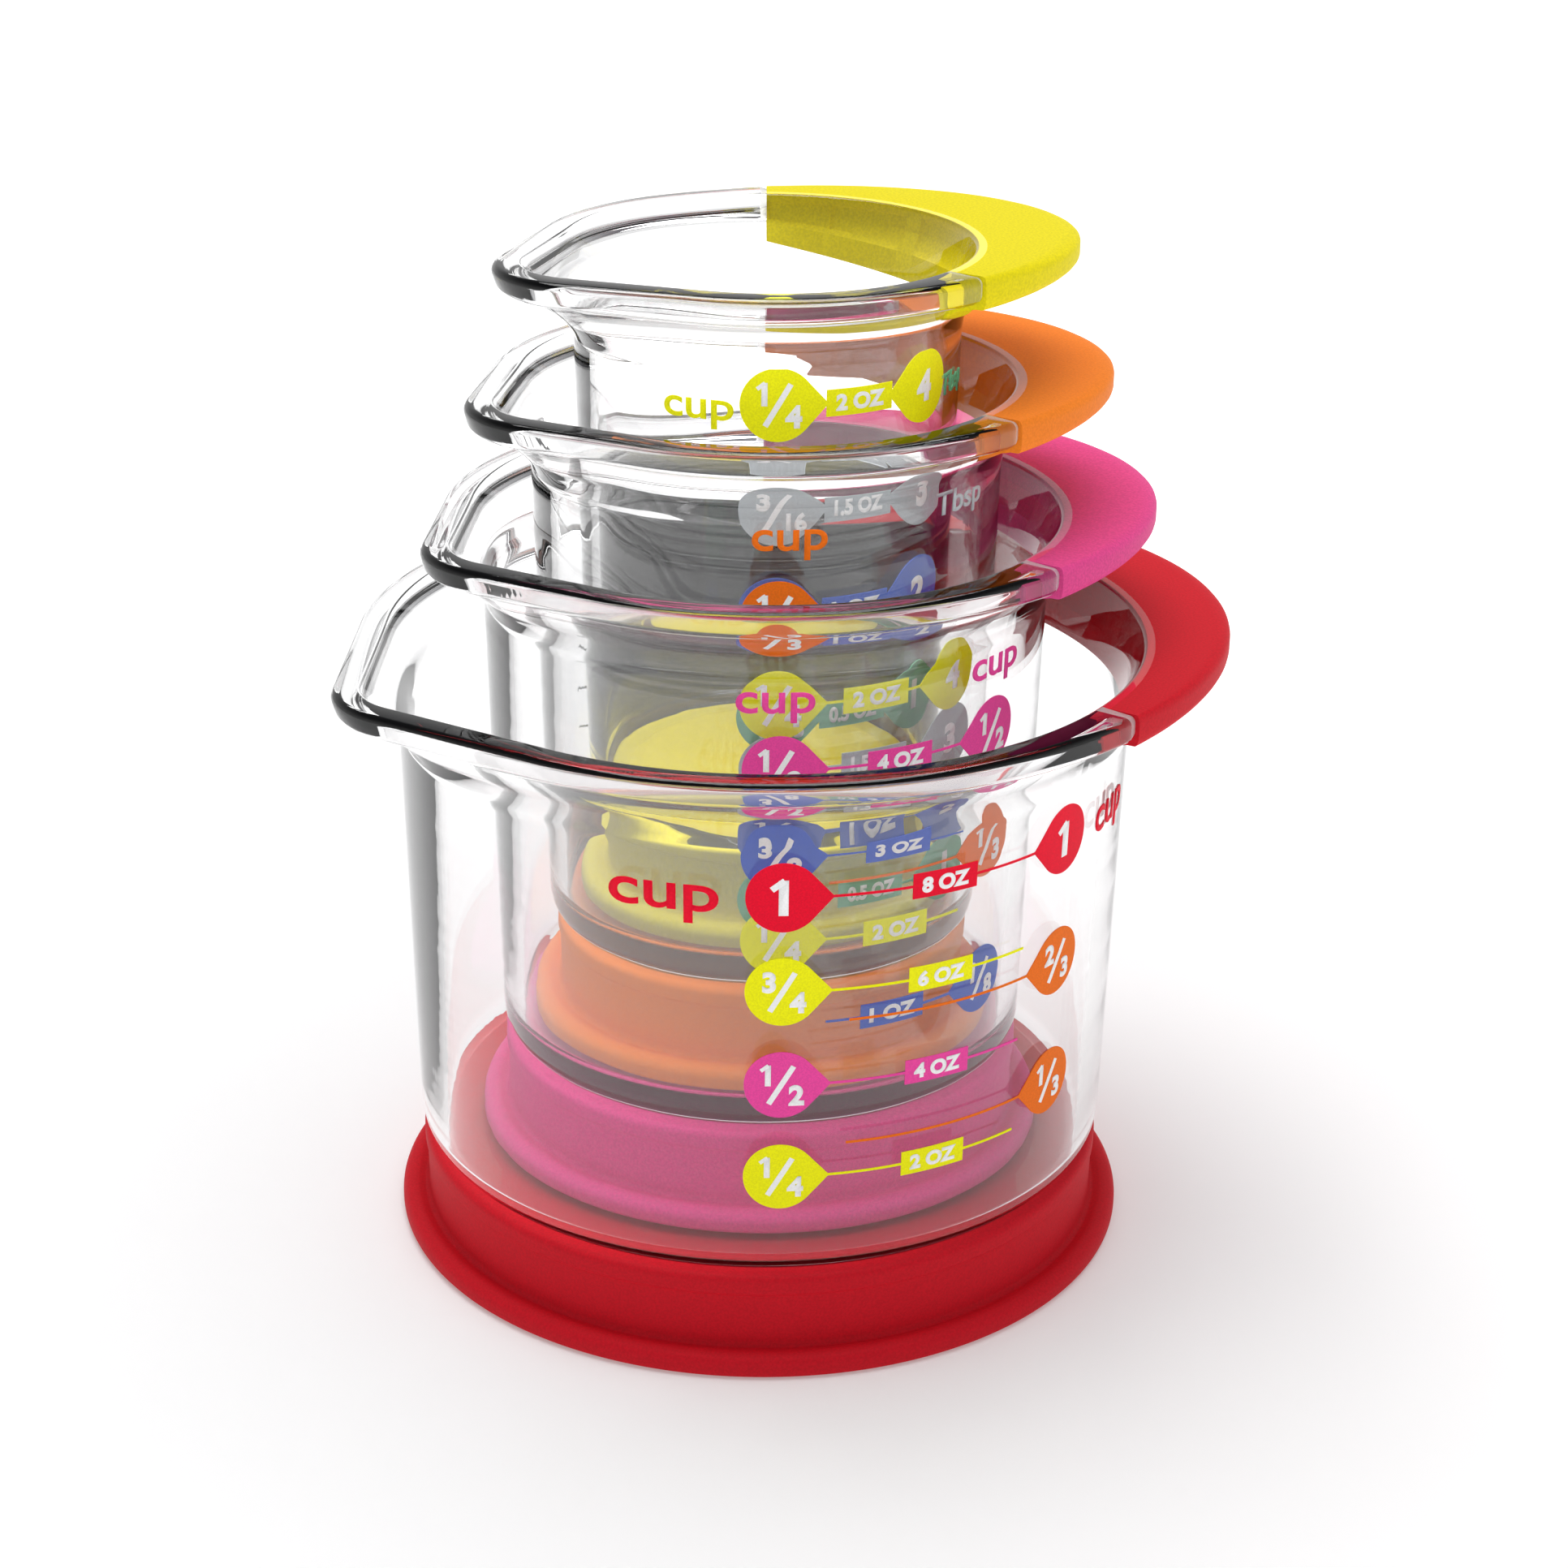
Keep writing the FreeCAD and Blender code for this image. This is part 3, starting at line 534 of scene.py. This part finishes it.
# %% Lengths of the feet
TABLE_ROUND = 0.8
FLANGE_TALL, FLANGE_ROUND = 2.3, 0.9
RIDGE_IN, RIDGE_TALL, RIDGE_ROUND = 1.6, 2.75, 0.5
GROOVE_WIDE, GROOVE_ROUND = 0.4, 0.3
WAIST_IN, WAIST_LOW, WAIST_HIGH, WAIST_LEAN = 3.3, 2.8, 9.1, 0.1
WAIST_ROUND, CREASE_ROUND = 0.25, 0.12  # at the bottom of the waist and at its top
BAND_IN, BAND_LOW, BAND_EDGE, BAND_ROUND = 2.95, 9.35, 0.15, 0.9
STEP_IN, SEAT_IN, SEAT_STEP = 5.6, 6.0, 0.1
SEAT_BITE = 0.02         # the seat reaches this far into the clear plastic

# %% Make the feet


def make_foot(cup):
    flange, base, seat = cup.foot, cup.base, cup.under + SEAT_BITE
    waist, band = flange - WAIST_IN, flange - BAND_IN
    bm = section([
        (0, base, 0), (flange, base, TABLE_ROUND), (flange, base + FLANGE_TALL, FLANGE_ROUND),
        (flange - RIDGE_IN, base + RIDGE_TALL, RIDGE_ROUND),
        (waist + GROOVE_WIDE, base + FLANGE_TALL, GROOVE_ROUND), (waist, base + WAIST_LOW, WAIST_ROUND),
        (waist + WAIST_LEAN, base + WAIST_HIGH, CREASE_ROUND), (band, base + BAND_LOW, BAND_EDGE),
        (band, seat - SEAT_STEP, BAND_ROUND), (flange - STEP_IN, seat - SEAT_STEP, SEAT_STEP),
        (flange - SEAT_IN, seat, SEAT_STEP), (0, seat, 0)])
    foot = add_object(cup.name + "_soft_foot", tidy_skin(spin_round(bm)))
    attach(foot, cup.name)
    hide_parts(cup.name + "_foot")
    return foot


feet = [make_foot(cups[cup]) for cup in CUPS]

# %% [markdown]
# ## Clear plastic
# Clear plastic is a Principled shader with full transmission. A very shallow bump, stretched sideways,
# stands for the slight waves that any moulded wall has, and makes the reflections drift a little. Light
# from the lamps passes straight through, because light that is bent by several walls hardly ever finds a
# lamp again, and the feet and inks inside would stay dark. What is seen through it is still bent.

# %% Clear plastic
PLASTIC_IOR = 1.5
WAVES = (14.0, 14.0, 280.0)             # per metre: long sideways and short upwards
LAMPLIGHT_KEPT = (0.96, 0.96, 0.96, 1)  # by each surface that it passes


def noise_on(tree, scale, detail=2.0):
    """A noise texture on the object's own coordinates."""
    where = tree.nodes.new("ShaderNodeTexCoord")
    noise = tree.nodes.new("ShaderNodeTexNoise")
    noise.inputs["Scale"].default_value = scale
    noise.inputs["Detail"].default_value = detail
    tree.links.new(where.outputs["Object"], noise.inputs["Vector"])
    return noise


def bump_from(tree, shader, noise, depth, strength):
    """Let the noise raise the surface by up to depth metres."""
    bump = tree.nodes.new("ShaderNodeBump")
    bump.inputs["Distance"].default_value = depth
    bump.inputs["Strength"].default_value = strength
    tree.links.new(noise.outputs["Fac"], bump.inputs["Height"])
    tree.links.new(bump.outputs["Normal"], shader.inputs["Normal"])


def clear_plastic():
    """Clear to the eye; light from the lamps passes it straight, so what is behind it stays well lit."""
    material, tree, shader = new_material("clear_plastic")
    shader.inputs["Base Color"].default_value = (0.985, 0.985, 0.985, 1)
    shader.inputs["Roughness"].default_value = 0.0
    shader.inputs["IOR"].default_value = PLASTIC_IOR
    shader.inputs["Transmission Weight"].default_value = 1.0
    where = tree.nodes.new("ShaderNodeTexCoord")
    stretch = tree.nodes.new("ShaderNodeMapping")
    stretch.inputs["Scale"].default_value = WAVES
    waves = tree.nodes.new("ShaderNodeTexNoise")
    waves.inputs["Scale"].default_value = 1.0
    waves.inputs["Detail"].default_value = 1.0
    tree.links.new(where.outputs["Object"], stretch.inputs["Vector"])
    tree.links.new(stretch.outputs["Vector"], waves.inputs["Vector"])
    bump_from(tree, shader, waves, depth=0.0002, strength=0.08)
    path = tree.nodes.new("ShaderNodeLightPath")
    straight = tree.nodes.new("ShaderNodeBsdfTransparent")
    straight.inputs["Color"].default_value = LAMPLIGHT_KEPT
    mix = tree.nodes.new("ShaderNodeMixShader")
    output = tree.nodes["Material Output"]
    tree.links.new(path.outputs["Is Shadow Ray"], mix.inputs["Fac"])
    tree.links.new(shader.outputs["BSDF"], mix.inputs[1])
    tree.links.new(straight.outputs["BSDF"], mix.inputs[2])
    tree.links.new(mix.outputs["Shader"], output.inputs["Surface"])
    return material


# %% [markdown]
# ## Soft elastomer
# The grips and feet are one satin elastomer in four colours. It has a fine grain, so one small noise
# drives both its colour and its height. An image texture could do that too, but noise on the object's own
# coordinates needs no unwrapping. The specular level is low, because a clear shine would wash the colour
# out.

# %% Soft elastomer
SOFT = {"red": (208, 22, 38), "pink": (232, 76, 146), "orange": (255, 136, 38), "yellow": (240, 224, 14)}
SOFT_GRAIN = 3500.0      # grains per metre, about


def colour_between(tree, noise, dark, light, low, high):
    """A colour ramp from dark to light over this stretch of the noise."""
    ramp = tree.nodes.new("ShaderNodeValToRGB")
    ramp.color_ramp.elements[0].position = low
    ramp.color_ramp.elements[0].color = (*dark, 1)
    ramp.color_ramp.elements[1].position = high
    ramp.color_ramp.elements[1].color = (*light, 1)
    tree.links.new(noise.outputs["Fac"], ramp.inputs["Fac"])
    return ramp


def linear(red, green, blue):
    """A screen colour, 0 to 255, as the linear values that shaders take, by the sRGB curve."""
    return tuple(((value / 255 + 0.055) / 1.055) ** 2.4 if value > 10 else value / 3294.6
                 for value in (red, green, blue))


def scaled(colour, factor):
    """The same colour, lighter or darker."""
    return tuple(min(value * factor, 1.0) for value in colour)


def soft_rubber(colour):
    """Satin elastomer of this colour."""
    material, tree, shader = new_material("soft_" + colour)
    base = linear(*SOFT[colour])
    grain = noise_on(tree, SOFT_GRAIN)
    ramp = colour_between(tree, grain, scaled(base, 0.90), scaled(base, 1.06), 0.35, 0.65)
    tree.links.new(ramp.outputs["Color"], shader.inputs["Base Color"])
    shader.inputs["Roughness"].default_value = 0.62
    shader.inputs["Specular IOR Level"].default_value = 0.12
    bump_from(tree, shader, grain, depth=0.00004, strength=0.25)
    return material


# %% [markdown]
# ## Ink
# Screen-printed ink is opaque and matt, and its grain is finer than the elastomer's. It is thick enough to
# have an edge, so the print is a mesh and not a picture on the wall.

# %% Ink
INK = {"red": (240, 0, 44), "yellow": (250, 248, 8), "pink": (244, 76, 164), "orange": (246, 116, 18),
       "blue": (58, 98, 206), "grey": (190, 196, 200), "green": (108, 190, 146),
       "white": (255, 255, 255)}
INK_GRAIN = 5200.0


def printed_ink(colour):
    """Opaque, slightly grainy ink of this colour."""
    material, tree, shader = new_material("ink_" + colour)
    base = linear(*INK[colour])
    grain = noise_on(tree, INK_GRAIN, 3.0)
    ramp = colour_between(tree, grain, scaled(base, 0.93), scaled(base, 1.05), 0.4, 0.62)
    tree.links.new(ramp.outputs["Color"], shader.inputs["Base Color"])
    shader.inputs["Roughness"].default_value = 0.6
    shader.inputs["Specular IOR Level"].default_value = 0.15
    bump_from(tree, shader, grain, depth=0.00002, strength=0.15)
    return material


# %% [markdown]
# ## Frosted plastic
# The cut ends of the rims are the same plastic with a rough face. Most light still passes, but scattered,
# so the colour behind them glows through and no shape does.

# %% Frosted plastic
FROST_GRAIN = 2400.0


def frosted_plastic():
    """Plastic with a matt face that lets light through."""
    material, tree, shader = new_material("frosted_plastic")
    grain = noise_on(tree, FROST_GRAIN)
    ramp = colour_between(tree, grain, (0.86, 0.86, 0.86), (1.0, 1.0, 1.0), 0.35, 0.65)
    tree.links.new(ramp.outputs["Color"], shader.inputs["Base Color"])
    shader.inputs["Roughness"].default_value = 0.55
    shader.inputs["IOR"].default_value = PLASTIC_IOR
    shader.inputs["Transmission Weight"].default_value = 0.7
    return material


# %% [markdown]
# ## Each piece gets its material
# A beaker has two materials, clear and frosted, in the order of its slots. A grip and a foot take their
# cup's colour. The print nodes that were carried over keep their shape, and take the ink that their names
# end with.

# %% Give out the materials
clear = clear_plastic()
frosted = frosted_plastic()
rubber = {colour: soft_rubber(colour) for colour in SOFT}
ink = {colour: printed_ink(colour) for colour in INK}
for cup, beaker, grip, foot in zip(CUPS, beakers, grips, feet):
    beaker.data.materials.append(clear)
    beaker.data.materials.append(frosted)
    grip.data.materials.append(rubber[COLOUR[cup]])
    foot.data.materials.append(rubber[COLOUR[cup]])
for name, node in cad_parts.items():
    if "_print_" in name:
        colour = name.rsplit("_", 1)[1]
        node.data.materials.clear()
        node.data.materials.append(ink[colour])
print(len(rubber), "elastomers and", len(ink), "inks, beside clear and frosted plastic")

# %% [markdown]
# ## Where the marks are
# Each scale line carries the measure in cups, in fluid ounces and, on the two small cups, in spoons. All
# three follow from one fraction, so only the fractions are listed. A mark's height is the height at which
# the cup holds that much: the volume of a slightly conical space, solved by halving.

# %% Find the height of a mark
US_CUP = 236588.0        # cubic millimetres
HALVINGS = 40


def wall_radius(cup, height):
    """Radius of the wall's outer face at this height."""
    low, high = cup.under, cup.rim - NECK_TALL
    return cup.top - DRAFT * (high - height) / (high - low)


def level(cup, share):
    """Height at which the cup holds this share of a US cup."""
    slope = DRAFT / (cup.rim - NECK_TALL - cup.under)
    radius = wall_radius(cup, cup.floor) - cup.wall
    low, high = 0.0, cup.rim - cup.floor
    for _ in range(HALVINGS):
        middle = (low + high) / 2
        volume = math.pi * (radius ** 2 * middle + radius * slope * middle ** 2
                            + slope ** 2 * middle ** 3 / 3)
        low, high = (middle, high) if volume < share * US_CUP else (low, middle)
    return cup.floor + low


print("the one cup's mark for 1 is", round(level(cups["one"], 1), 1), "mm up")

# %% [markdown]
# ## Print on a round wall
# Flat text becomes a mesh, is cut into narrow strips so that it can bend, and is then wrapped round the
# wall: across the text becomes the angle round Z, up stays up, and its thickness points outwards. A
# Shrinkwrap modifier could lay it on the wall too, but the formula keeps every letter's width.

# %% Wrap printed text round a wall
STRIP = 0.9              # width of the strips that a text is cut into
ON_CUT = 1e-5            # a vertex this near a cut is on it
LETTER_STEPS = 6


def text_mesh(words, tall, bold):
    """A bmesh of flat text, tall millimetres high over its letters, centred on the origin."""
    curve = bpy.data.curves.new("text", "FONT")
    curve.body = words
    curve.offset = bold
    curve.resolution_u = LETTER_STEPS
    holder = bpy.data.objects.new("text", curve)
    bpy.context.scene.collection.objects.link(holder)
    bpy.context.view_layer.update()
    mesh = bpy.data.meshes.new_from_object(holder.evaluated_get(bpy.context.evaluated_depsgraph_get()))
    bpy.data.objects.remove(holder)
    bm = bmesh.new()
    bm.from_mesh(mesh)
    bpy.data.meshes.remove(mesh)
    low = Vector([min(vert.co[i] for vert in bm.verts) for i in range(3)])
    high = Vector([max(vert.co[i] for vert in bm.verts) for i in range(3)])
    scale = tall / (high.y - low.y)
    for vert in bm.verts:
        vert.co = (vert.co - (low + high) / 2) * scale
    return bm, (high.x - low.x) * scale


def wrap(bm, wide, cup, azimuth, height, lift, thick):
    """Cut flat text into strips, give it thickness and wrap it round the wall."""
    for i in range(1, int(wide / STRIP) + 1):
        bmesh.ops.bisect_plane(bm, geom=bm.verts[:] + bm.edges[:] + bm.faces[:], dist=ON_CUT,
                               plane_co=(i * STRIP - wide / 2, 0, 0), plane_no=(1, 0, 0))
    bmesh.ops.recalc_face_normals(bm, faces=bm.faces[:])
    top = bmesh.ops.extrude_face_region(bm, geom=bm.faces[:])
    bmesh.ops.translate(bm, vec=(0, 0, thick),
                        verts=[item for item in top["geom"] if isinstance(item, bmesh.types.BMVert)])
    for vert in bm.verts:
        across, up, out = vert.co
        radius = wall_radius(cup, height + up)
        angle = math.radians(azimuth) + across / radius
        radius += lift + out
        vert.co = Vector((radius * math.cos(angle), radius * math.sin(angle), height + up)) * MM
    bmesh.ops.recalc_face_normals(bm, faces=bm.faces[:])


# %% [markdown]
# ## One ink, one piece
# A screen prints one ink at a time, so all the print of one ink on one cup is one piece. A sheet gathers
# texts and strokes and then makes that piece. The font's figure one is a plain bar, so it is given the
# short upstroke that tells it from a stroke.

# %% Gather the print of one ink
FILM = 0.11              # top of the coloured ink, over the wall
WHITE_THICK = 0.04
BOLD = 0.05
FLAG_UP, FLAG_LONG, FLAG_WIDE, FLAG_LEFT = 0.36, 0.42, 0.17, 0.14       # shares of the figure's height
FLAG_TURN = math.radians(38)


class Sheet:
    """All the print of one ink on one cup, gathered into one mesh."""

    def __init__(self, cup, ink_name, what):
        self.cup, self.ink_name, self.what = cup, ink_name, what
        self.bm = bmesh.new()

    def text(self, words, azimuth, height, tall, across=0.0, wide=None, lift=FILM, thick=WHITE_THICK,
             bold=BOLD):
        """Print words here; across moves them sideways, and wide squeezes them to that width."""
        bm, real = text_mesh(words, tall, bold)
        if wide:
            bmesh.ops.scale(bm, vec=(wide / real, 1, 1), verts=bm.verts[:])
            real = wide
        bmesh.ops.translate(bm, vec=(across, 0, 0), verts=bm.verts[:])
        wrap(bm, real + 2 * abs(across), self.cup, azimuth, height, lift, thick)
        self.take(bm)

    def stroke(self, azimuth, height, wide, tall, turn=0.0, across=0.0, lift=FILM, thick=WHITE_THICK):
        """Print a plain bar, turned anticlockwise by turn and moved sideways by across."""
        bm = bmesh.new()
        bmesh.ops.create_grid(bm, x_segments=4, y_segments=1, size=0.5)
        bmesh.ops.scale(bm, vec=(wide, tall, 1), verts=bm.verts[:])
        bmesh.ops.rotate(bm, cent=(0, 0, 0), matrix=Matrix.Rotation(turn, 3, "Z"), verts=bm.verts[:])
        bmesh.ops.translate(bm, vec=(across, 0, 0), verts=bm.verts[:])
        wrap(bm, wide, self.cup, azimuth, height, lift, thick)
        self.take(bm)

    def flag(self, azimuth, height, tall, across=0.0):
        """The short upstroke that makes a plain bar of this height a figure one."""
        self.stroke(azimuth, height + FLAG_UP * tall, FLAG_LONG * tall, FLAG_WIDE * tall,
                    turn=FLAG_TURN, across=across - FLAG_LEFT * tall)

    def take(self, bm):
        """Add this mesh to the sheet."""
        mesh = bpy.data.meshes.new("part")
        bm.to_mesh(mesh)
        bm.free()
        self.bm.from_mesh(mesh)
        bpy.data.meshes.remove(mesh)

    def done(self):
        """Make the sheet a piece that rides on its cup."""
        bmesh.ops.remove_doubles(self.bm, verts=self.bm.verts[:], dist=SAME_POINT)
        sheet = add_object(self.cup.name + self.what + self.ink_name, self.bm)
        sheet.data.materials.append(ink[self.ink_name])
        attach(sheet, self.cup.name)
        print(sheet.name, "triangles", sum(len(face.vertices) - 2 for face in sheet.data.polygons))


# %% [markdown]
# ## The white figures
# A fraction has its own layout: a small top figure to the upper left, a long slash, and a small bottom
# figure to the lower right. A whole number stands alone and larger. A typed fraction would have the
# font's spacing instead.

# %% Lay out the figures
DROPS = {
    "one": [("row", 1), ("row", 3 / 4), ("row", 1 / 2), ("row", 1 / 4),
            ("right", 1), ("right", 2 / 3), ("right", 1 / 3)],
    "half": [("row", 1 / 2), ("row", 3 / 8), ("row", 1 / 4),
             ("right", 1 / 2), ("right", 1 / 3), ("right_box", 1 / 8)],
    "third": [("drop", 1 / 3), ("spoons", 1 / 4), ("spoons", 3 / 16), ("spoons", 1 / 8),
              ("spoons", 1 / 16)],
    "quarter": [("spoons", 1 / 4), ("spoons", 3 / 16), ("spoons", 1 / 8), ("spoons", 1 / 16)],
}
FRONT, BOXES, RIGHT = -115.5, -91.0, -67.0              # degrees round Z
FIGURE_TALL, WHOLE_TALL, OUNCE_TALL = 2.6, 4.2, 1.9
TWO_DIGITS, SPOONS = 0.82, 0.85         # of the usual height
TOP_UP, TOP_ACROSS = 1.2, -1.45
BOTTOM_DOWN, BOTTOM_ACROSS, TWO_DIGITS_ACROSS = 1.3, 1.7, 2.1
SLASH_LONG, SLASH_WIDE, SLASH_TURN = 5.4, 0.62, math.radians(60)
BOX_TEXT_WIDE = 5.9
OUNCES_IN_CUP, SPOONS_IN_CUP = 8, 16

# %% Print the white figures


def print_fraction(sheet, share, azimuth, height):
    top, bottom = Fraction(share).limit_denominator(SPOONS_IN_CUP).as_integer_ratio()
    if bottom == 1:
        sheet.text(str(top), azimuth, height, WHOLE_TALL)
        sheet.flag(azimuth, height, WHOLE_TALL)
        return
    small = FIGURE_TALL if bottom < 10 else FIGURE_TALL * TWO_DIGITS
    sheet.text(str(top), azimuth, height + TOP_UP, FIGURE_TALL, across=TOP_ACROSS)
    if top == 1:
        sheet.flag(azimuth, height + TOP_UP, FIGURE_TALL, across=TOP_ACROSS)
    sheet.stroke(azimuth, height, SLASH_LONG, SLASH_WIDE, turn=SLASH_TURN)
    sheet.text(str(bottom), azimuth, height - BOTTOM_DOWN, small,
               across=BOTTOM_ACROSS if bottom < 10 else TWO_DIGITS_ACROSS)


def print_figures(cup):
    sheet = Sheet(cups[cup], "white", "_figures_")
    for kind, share in DROPS[cup]:
        height = level(cups[cup], share)
        if kind in ("row", "drop", "spoons"):
            print_fraction(sheet, share, FRONT, height)
        if kind in ("row", "spoons", "right_box"):
            sheet.text("%g OZ" % (share * OUNCES_IN_CUP), BOXES, height, OUNCE_TALL, wide=BOX_TEXT_WIDE)
        if kind in ("right", "right_box"):
            print_fraction(sheet, share, RIGHT, height)
        if kind == "spoons":
            sheet.text("%g" % (share * SPOONS_IN_CUP), RIGHT, height, WHOLE_TALL * SPOONS)
    sheet.done()


for cup in CUPS:
    print_figures(cup)


# %% [markdown]
# ## The unit words
# The words beside the scales are ordinary units, printed straight on the wall in the ink of their scale.
# Each is listed with its ink, its place (degrees round Z and height) and its width and height.

# %% Print the unit words
ON_WALL = 0.01           # the words' underside, over the wall
WORD_THICK, WORD_BOLD = 0.1, 0.012
WORDS = {
    "one": [("red", "cup", -133.0, 58.5, 12.3, 4.6), ("red", "cup", -50.8, 58.2, 9.6, 4.6)],
    "half": [("pink", "cup", -116.4, 77.3, 8.6, 3.6), ("pink", "cup", -66.5, 77.3, 8.6, 3.6)],
    "third": [("orange", "cup", -113.0, 93.7, 8.2, 3.5), ("grey", "Tbsp", -66.0, 95.5, 8.6, 3.6)],
    "quarter": [("yellow", "cup", -138.5, 106.4, 8.0, 3.3), ("green", "Tbsp", -47.0, 106.3, 7.6, 3.3)],
}


def print_words(cup):
    for colour in dict.fromkeys(entry[0] for entry in WORDS[cup]):
        sheet = Sheet(cups[cup], colour, "_words_")
        for entry_colour, words, azimuth, height, wide, tall in WORDS[cup]:
            if entry_colour == colour:
                sheet.text(words, azimuth, height, tall, wide=wide, lift=ON_WALL, thick=WORD_THICK,
                           bold=WORD_BOLD)
        sheet.done()


for cup in CUPS:
    print_words(cup)


# %% [markdown]
# ## The millilitre lines
# The far side of the largest cup has a plain millilitre scale of short lines. Each is a stroke like the
# slash of a fraction, at the height that the cup's volume gives.

# %% Print the millilitre lines
ML = 1000                # cubic millimetres
ML_STEP, ML_LINES = 25, 9
ML_AT, ML_LONG, ML_TALL = 103.0, 6.5, 0.3
ml_sheet = Sheet(cups["one"], "grey", "_lines_")
for number in range(1, ML_LINES + 1):
    height = level(cups["one"], number * ML_STEP * ML / US_CUP)
    ml_sheet.stroke(ML_AT, height, ML_LONG, ML_TALL, lift=ON_WALL, thick=WORD_THICK)
ml_sheet.done()

# %% [markdown]
